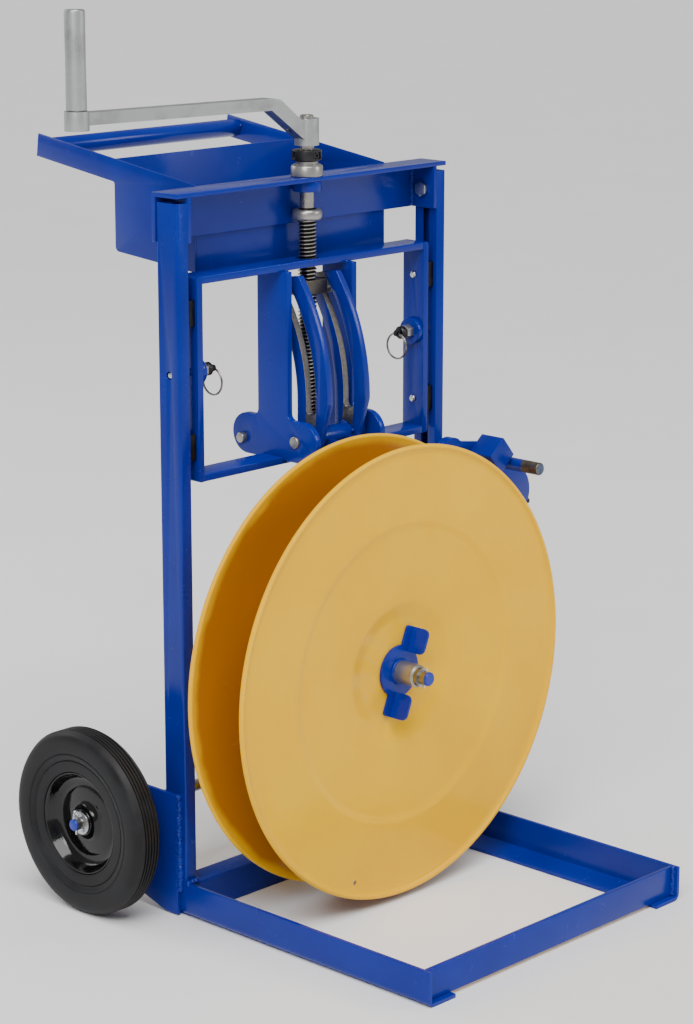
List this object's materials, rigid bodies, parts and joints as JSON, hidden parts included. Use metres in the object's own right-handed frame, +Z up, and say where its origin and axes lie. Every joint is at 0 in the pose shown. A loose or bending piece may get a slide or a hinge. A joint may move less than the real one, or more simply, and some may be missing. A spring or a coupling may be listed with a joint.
{
  "type": "strapping dispenser cart",
  "caption": "Two-wheeled strapping dispenser cart: a coil reel on an arm that a top crank and lead screw tilt from upright to flat, with a tool tray and push handle.",
  "frame": {"origin": "on the floor, under the lead screw's axis, on the rear bar's underside", "axes": "+X to the machine's right, +Y to its back (wheels and push handle), +Z up"},
  "size_m": [0.7949, 0.798, 1.2085],
  "materials": {
    "blue_paint": "royal blue powder coat, gloss",
    "yellow_paint": "golden yellow enamel, gloss",
    "bare_steel": "turned or bright-drawn, bare",
    "dark_steel": "oiled dark steel",
    "zinc_steel": "bright zinc plate",
    "cast_aluminium": "as cast, tumbled",
    "black_rubber": "solid rubber, matt",
    "black_paint": "gloss black",
    "black_oxide": "black oxide, satin",
    "nylon": "black nylon"
  },
  "bodies": {
    "frame": {"left_post": "blue_paint", "right_post": "blue_paint", "left_rail": "blue_paint", "right_rail": "blue_paint", "front_bar": "blue_paint", "rear_bar": "blue_paint", "left_axle_plate": "blue_paint", "right_axle_plate": "blue_paint", "left_tray_side": "blue_paint", "right_tray_side": "blue_paint", "tray_pan": "blue_paint", "tray_handle": "blue_paint", "crossbar": "blue_paint", "crossbar_end_plates": "blue_paint", "screw_boss": "blue_paint", "carriage_top_bar": "blue_paint", "carriage_bottom_bar": "blue_paint", "carriage_side_bars": "blue_paint", "left_hanger": "blue_paint", "right_hanger": "blue_paint", "plunger_bosses": "blue_paint", "axle": "bare_steel", "thrust_bearing": "bare_steel", "pivot_shaft": "bare_steel", "hanger_stop_pins": "bare_steel", "plunger_barrels": "bare_steel", "axle_washers": "zinc_steel", "cotter_pins": "zinc_steel", "crossbar_bolts": "zinc_steel", "guide_screws": "zinc_steel", "guide_blocks": "nylon"},
    "screw": {"lead_screw": "dark_steel", "screw_collar": "black_oxide", "collar_set_screw": "black_oxide", "stop_ring": "bare_steel", "crank_roll_pin": "bare_steel", "grip_pin": "bare_steel", "crank_arm": "cast_aluminium"},
    "grip": {"crank_grip": "cast_aluminium"},
    "nut": {"lift_nut": "dark_steel"},
    "trunnions": {"trunnions": "bare_steel"},
    "tilt_arm": {"left_cam": "blue_paint", "right_cam": "blue_paint", "pivot_tube": "blue_paint", "reel_arm": "blue_paint", "lever_bearer": "blue_paint", "spindle": "bare_steel"},
    "reel": {"rear_flange": "yellow_paint", "front_flange": "yellow_paint", "reel_core": "yellow_paint"},
    "wing_nut": {"wing_nut": "blue_paint"},
    "guide_lever": {"guide_lever": "blue_paint"},
    "left_wheel": {"left_tyre": "black_rubber", "left_rim": "black_paint"},
    "right_wheel": {"right_tyre": "black_rubber", "right_rim": "black_paint"},
    "left_plunger": {"left_plunger": "black_oxide"},
    "right_plunger": {"right_plunger": "black_oxide"},
    "left_ring": {"left_pull_ring": "zinc_steel"},
    "right_ring": {"right_pull_ring": "zinc_steel"}
  },
  "joints": [
    {"name": "crank_turn", "type": "hinge", "parent": "frame", "child": "screw", "pos_m": [0, 0, 0.9], "axis": [0, 0, 1], "range_deg": [0, 13680]},
    {"name": "nut_travel", "type": "slide", "parent": "frame", "child": "nut", "axis": [0, 0, -1], "range_m": [0, 0.19314]},
    {"name": "reel_tilt", "type": "hinge", "parent": "frame", "child": "tilt_arm", "pos_m": [0, -0.042, 0.626], "axis": [-1, 0, 0], "range_deg": [0, 90.01]},
    {"name": "trunnion_travel", "type": "hinge", "parent": "tilt_arm", "child": "trunnions", "pos_m": [0, 0.209, 0.676], "axis": [1, 0, 0], "range_deg": [0, 37.08]},
    {"name": "grip_spin", "type": "hinge", "parent": "screw", "child": "grip", "pos_m": [-0.4, 0, 1.14], "axis": [0, 0, 1], "continuous": true},
    {"name": "reel_spin", "type": "hinge", "parent": "tilt_arm", "child": "reel", "pos_m": [0, -0.1375, 0.321], "axis": [0, 1, 0], "continuous": true},
    {"name": "wing_nut_spin", "type": "hinge", "parent": "tilt_arm", "child": "wing_nut", "pos_m": [0, -0.172, 0.321], "axis": [0, 1, 0], "continuous": true},
    {"name": "guide_lever_swing", "type": "hinge", "parent": "tilt_arm", "child": "guide_lever", "pos_m": [0.211, -0.0735, 0.572], "axis": [0, 1, 0], "range_deg": [0, 18], "stiffness_Nm_per_rad": 8, "springref_deg": -17.19},
    {"name": "left_wheel_spin", "type": "hinge", "parent": "frame", "child": "left_wheel", "pos_m": [-0.325, 0.096, 0.127], "axis": [1, 0, 0], "continuous": true},
    {"name": "right_wheel_spin", "type": "hinge", "parent": "frame", "child": "right_wheel", "pos_m": [0.325, 0.096, 0.127], "axis": [1, 0, 0], "continuous": true},
    {"name": "left_plunger_pull", "type": "slide", "parent": "frame", "child": "left_plunger", "axis": [1, 0, 0], "range_m": [0, 0.012], "stiffness_N_per_m": 1500, "springref_m": -0.004},
    {"name": "right_plunger_pull", "type": "slide", "parent": "frame", "child": "right_plunger", "axis": [-1, 0, 0], "range_m": [0, 0.012], "stiffness_N_per_m": 1500, "springref_m": -0.004},
    {"name": "left_ring_swing", "type": "hinge", "parent": "left_plunger", "child": "left_ring", "pos_m": [-0.177, 0, 0.737], "axis": [0, 1, 0], "range_deg": [-80, 40]},
    {"name": "right_ring_swing", "type": "hinge", "parent": "right_plunger", "child": "right_ring", "pos_m": [0.177, 0, 0.737], "axis": [0, -1, 0], "range_deg": [-80, 40]}
  ],
  "couplings": [
    {"joint": "nut_travel", "follows": "crank_turn", "m_per_rad": 0.00080851},
    {"joint": "reel_tilt", "follows": "crank_turn", "ratio": 0.0065789},
    {"joint": "trunnion_travel", "follows": "crank_turn", "ratio": 0.0027095}
  ]
}
